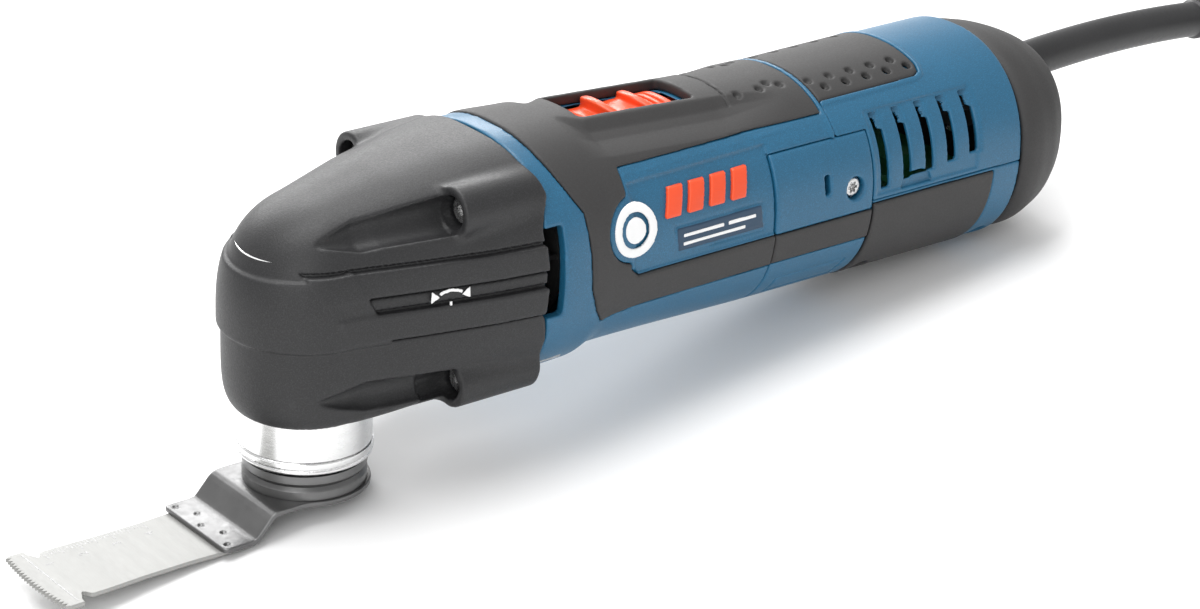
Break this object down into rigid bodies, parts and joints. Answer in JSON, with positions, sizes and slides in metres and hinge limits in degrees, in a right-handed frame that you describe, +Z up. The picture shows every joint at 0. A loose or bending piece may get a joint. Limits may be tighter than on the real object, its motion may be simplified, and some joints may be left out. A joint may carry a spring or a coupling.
{
  "type": "oscillating multi tool",
  "caption": "Corded oscillating multi tool with a barrel body, rounded gear head, thumb slider switch, speed dial, cranked plunge saw blade, power cord and plug.",
  "frame": {"origin": "centre of the bounding box of the tool without its free cord, on the bench that the tool lies on", "axes": "+X along the tool towards its cord, +Z up from the bench, the side with the screw-held cover seen first is -Y"},
  "size_m": [0.6062, 0.1092, 0.0893],
  "materials": {
    "blue_plastic": "fine texture",
    "head_black": "coarse spark texture",
    "soft_grip": "soft matt",
    "signal_red": "satin",
    "badge_white": "gloss",
    "cast_aluminium": "turned bright",
    "dark_steel": "blackened",
    "blade_steel": "ground",
    "bearing_steel": "polished",
    "core_steel": "laminated",
    "copper": "wound",
    "carbon": "matt",
    "inner_plastic": "moulded",
    "circuit_board": "solder mask",
    "screw_steel": "zinc",
    "cord_rubber": "smooth",
    "tie_fabric": "woven",
    "brass_pin": "nickel"
  },
  "bodies": {
    "tool_body": {"bearing_bracket": "inner_plastic", "belly_cover": "blue_plastic", "brush_holder_left": "copper", "brush_holder_right": "copper", "brush_spring_left": "bearing_steel", "brush_spring_right": "bearing_steel", "capacitor": "inner_plastic", "carbon_brush_left": "carbon", "carbon_brush_right": "carbon", "control_board": "circuit_board", "cord_clamp": "inner_plastic", "cord_coil": "cord_rubber", "cord_lead": "cord_rubber", "cord_sleeve": "cord_rubber", "cord_tail": "cord_rubber", "cord_tie": "tie_fabric", "cover_grips": "soft_grip", "cover_screws": "screw_steel", "field_coils": "copper", "field_stator": "core_steel", "front_housing": "blue_plastic", "front_motor_bearing": "bearing_steel", "front_overmould": "soft_grip", "gear_housing": "cast_aluminium", "head_cover": "head_black", "head_screws": "screw_steel", "housing_screws": "screw_steel", "lower_spindle_bearing": "bearing_steel", "neck_ring": "cast_aluminium", "plug_body": "cord_rubber", "plug_pins": "brass_pin", "rear_lower_grip": "soft_grip", "rear_motor_bearing": "bearing_steel", "rear_shell_lower": "blue_plastic", "rear_shell_upper": "blue_plastic", "side_emblems": "signal_red", "spindle_seal": "cord_rubber", "switch_unit": "inner_plastic", "tail_cap": "soft_grip", "top_rear_grip": "soft_grip", "upper_spindle_bearing": "bearing_steel"},
    "spindle": {"spindle": "bearing_steel", "tool_flange": "dark_steel", "fork_lever": "core_steel", "clamp_bolt": "dark_steel", "clamp_washer": "dark_steel", "blade_carrier": "dark_steel", "saw_blade": "blade_steel"},
    "rotor": {"rotor_shaft": "bearing_steel", "armature_core": "core_steel", "armature_winding": "copper", "commutator": "copper", "cooling_fan": "inner_plastic", "counterweight": "core_steel", "eccentric_bush": "bearing_steel", "eccentric_bearing": "bearing_steel"},
    "switch_slider": {"switch_slider": "signal_red", "switch_rod": "inner_plastic"},
    "speed_dial": {"speed_dial": "inner_plastic"}
  },
  "joints": [
    {"name": "spindle_swing", "type": "hinge", "parent": "tool_body", "child": "spindle", "pos_m": [-0.1353, 0, 0.00637], "axis": [0.112, 0, 0.9937], "range_deg": [-1.4, 1.4]},
    {"name": "rotor_spin", "type": "hinge", "parent": "tool_body", "child": "rotor", "pos_m": [-0.12937, 0, 0.05904], "axis": [0.9937, 0, -0.112], "continuous": true},
    {"name": "switch_slide", "type": "slide", "parent": "tool_body", "child": "switch_slider", "axis": [-0.9937, 0, 0.112], "range_m": [0, 0.006]},
    {"name": "dial_turn", "type": "hinge", "parent": "tool_body", "child": "speed_dial", "pos_m": [0.08507, 0.0248, 0.04192], "axis": [0.112, 0, 0.9937], "range_deg": [0, 270]}
  ]
}
